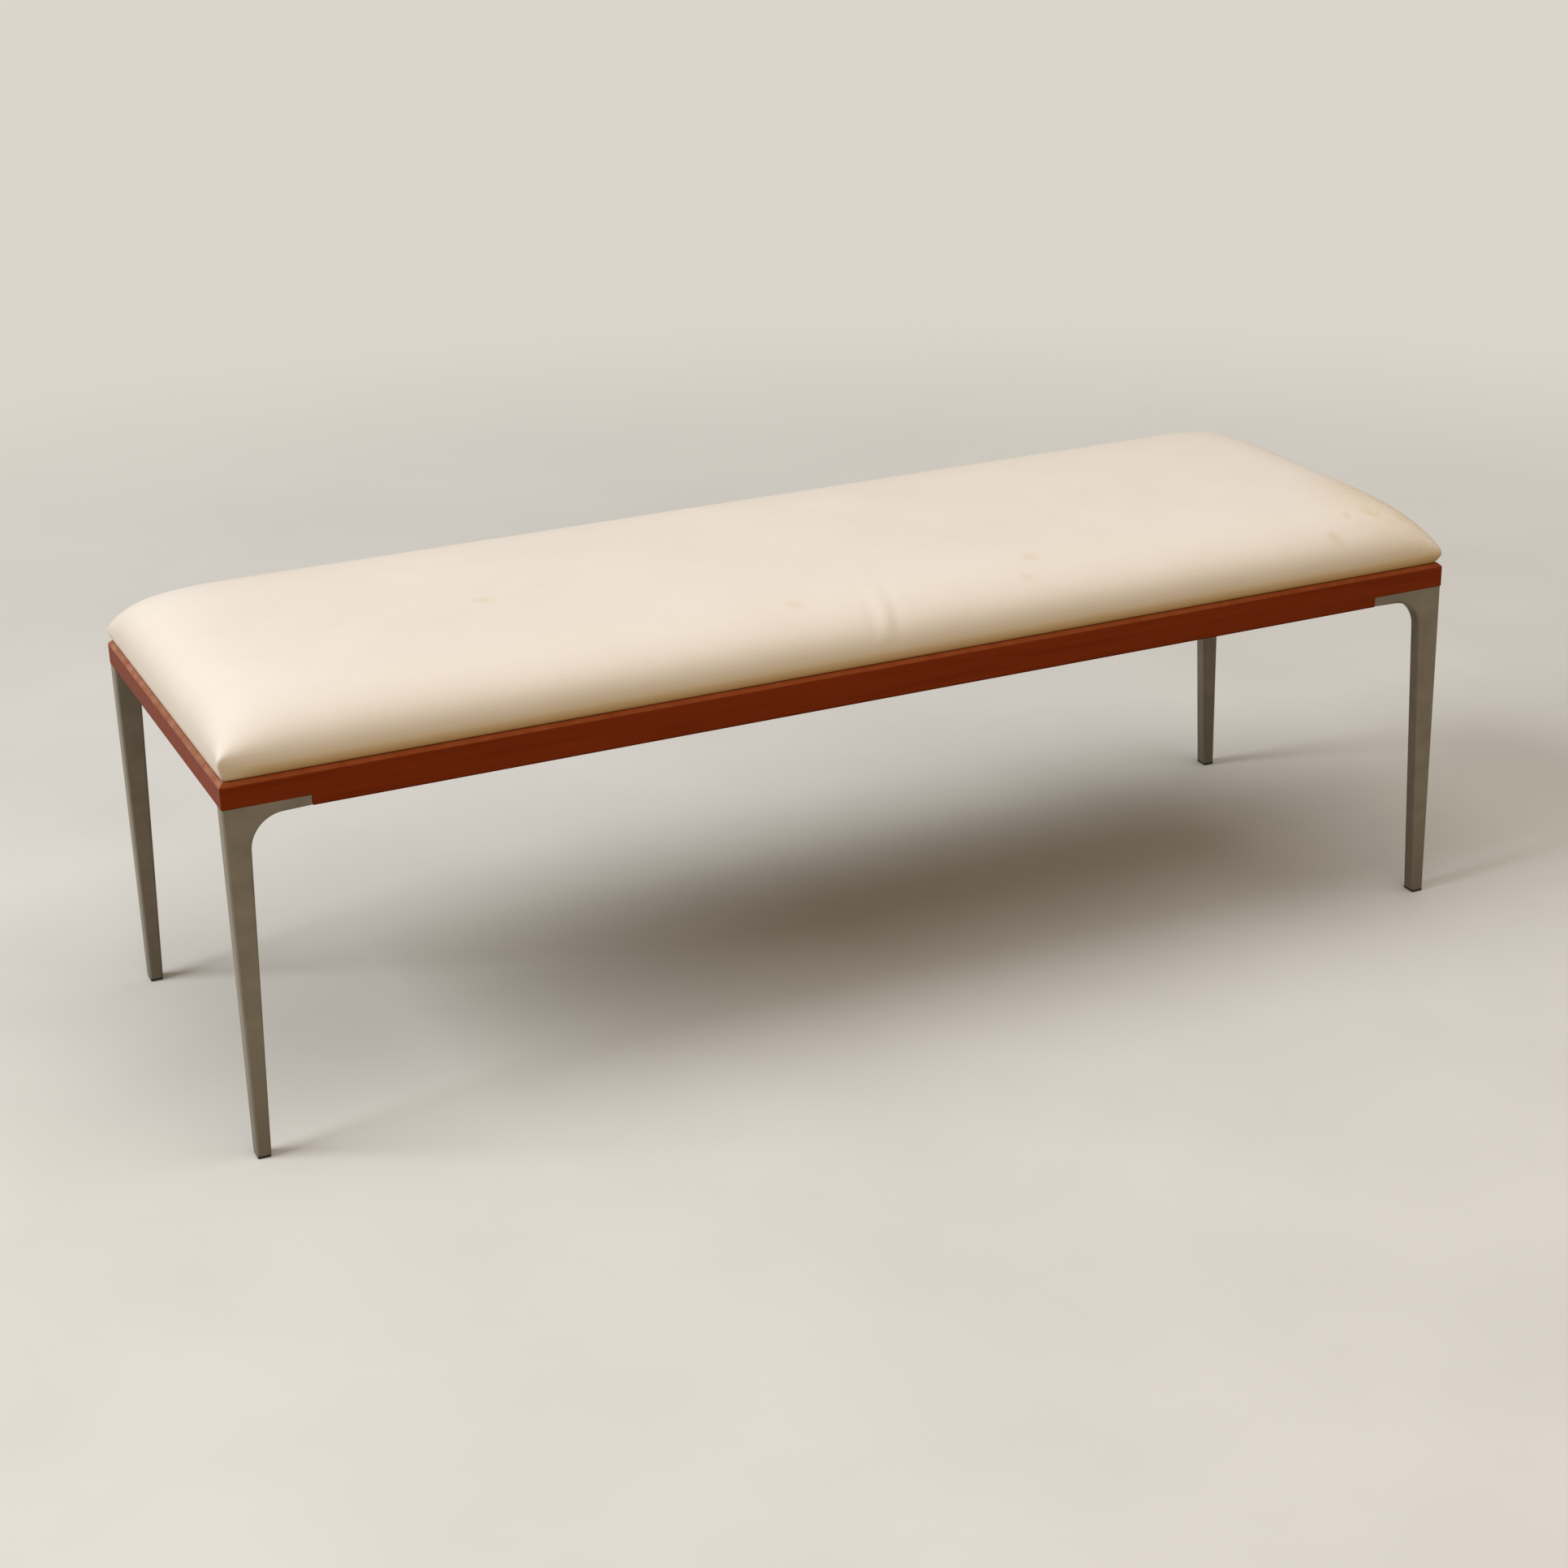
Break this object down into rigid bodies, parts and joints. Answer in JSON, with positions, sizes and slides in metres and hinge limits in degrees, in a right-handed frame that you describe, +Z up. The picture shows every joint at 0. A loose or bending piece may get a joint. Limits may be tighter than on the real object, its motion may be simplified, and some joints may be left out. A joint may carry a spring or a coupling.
{
  "type": "upholstered bench",
  "caption": "Upholstered bench: crowned tight cloth seat on a mitred, stained hardwood frame with slender tapered cast-metal legs let into the long rails.",
  "frame": {"origin": "on the floor under the middle of the bench", "axes": "+X along the length, +Y to the back, +Z up"},
  "size_m": [1.372, 0.464, 0.4655],
  "materials": {
    "stained_cherry": "red-brown stain under satin lacquer",
    "frame_wood": "planed, unfinished hardwood",
    "plywood": "sanded plywood",
    "cast_metal": "satin grey casting",
    "zinc_steel": "zinc plated",
    "nylon": "moulded",
    "seat_cloth": "fine matt cream cloth, tightly drawn",
    "wadding": "white polyester wadding",
    "foam": "open-cell foam",
    "dust_cloth": "black non-woven cloth"
  },
  "bodies": {
    "root": {"front_rail": "stained_cherry", "back_rail": "stained_cherry", "left_end_rail": "stained_cherry", "right_end_rail": "stained_cherry", "corner_block_front_left": "frame_wood", "corner_block_front_right": "frame_wood", "corner_block_back_left": "frame_wood", "corner_block_back_right": "frame_wood", "stretcher_left": "frame_wood", "stretcher_right": "frame_wood", "mitre_splines": "frame_wood", "seat_deck": "plywood", "leg_front_left": "cast_metal", "leg_front_right": "cast_metal", "leg_back_left": "cast_metal", "leg_back_right": "cast_metal", "leg_screws": "zinc_steel", "deck_screws": "zinc_steel", "glide_front_left": "nylon", "glide_front_right": "nylon", "glide_back_left": "nylon", "glide_back_right": "nylon", "seat_cover": "seat_cloth", "wadding": "wadding", "foam_core": "foam", "dust_cover": "dust_cloth"}
  },
  "joints": []
}
